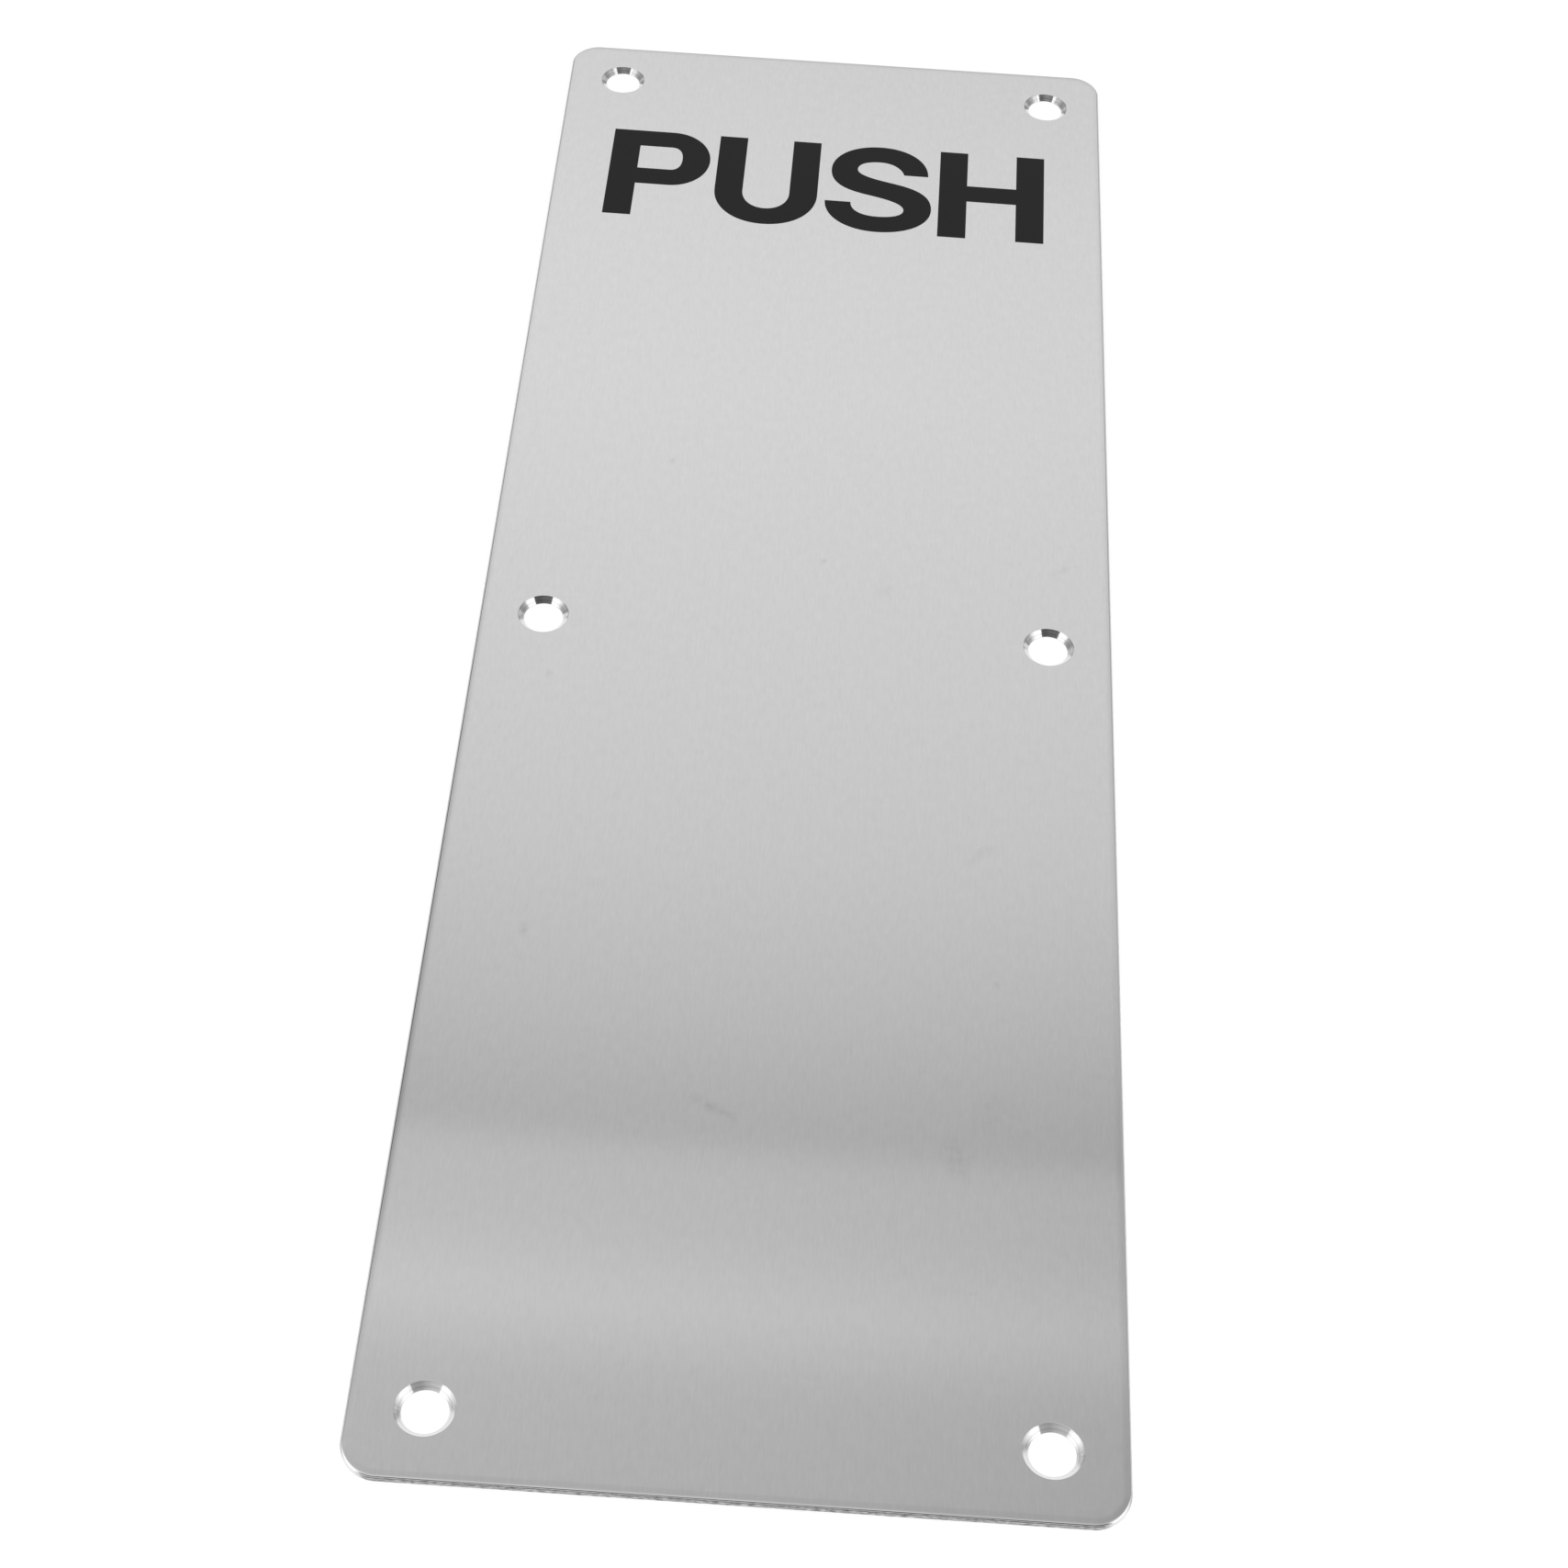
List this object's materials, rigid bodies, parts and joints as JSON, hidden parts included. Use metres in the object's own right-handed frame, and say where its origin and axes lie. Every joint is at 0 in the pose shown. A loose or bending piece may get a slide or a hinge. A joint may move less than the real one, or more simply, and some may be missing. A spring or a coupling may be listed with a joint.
{
  "type": "door finger plate",
  "caption": "Flat brushed stainless finger plate for the push side of a door, with radiused corners, a rounded front edge and countersunk screw holes along both long sides.",
  "frame": {"origin": "middle of the back face, which lies on the surface that the plate rests on or is fixed to", "axes": "+X across the width, +Y along the length towards the end that is uppermost on a door, +Z out of the front face"},
  "size_m": [0.1, 0.3, 0.001],
  "materials": {
    "brushed_stainless": "satin, brushed along the length",
    "black_print": "satin black print"
  },
  "bodies": {
    "root": {"finger_plate": "brushed_stainless"}
  },
  "joints": []
}
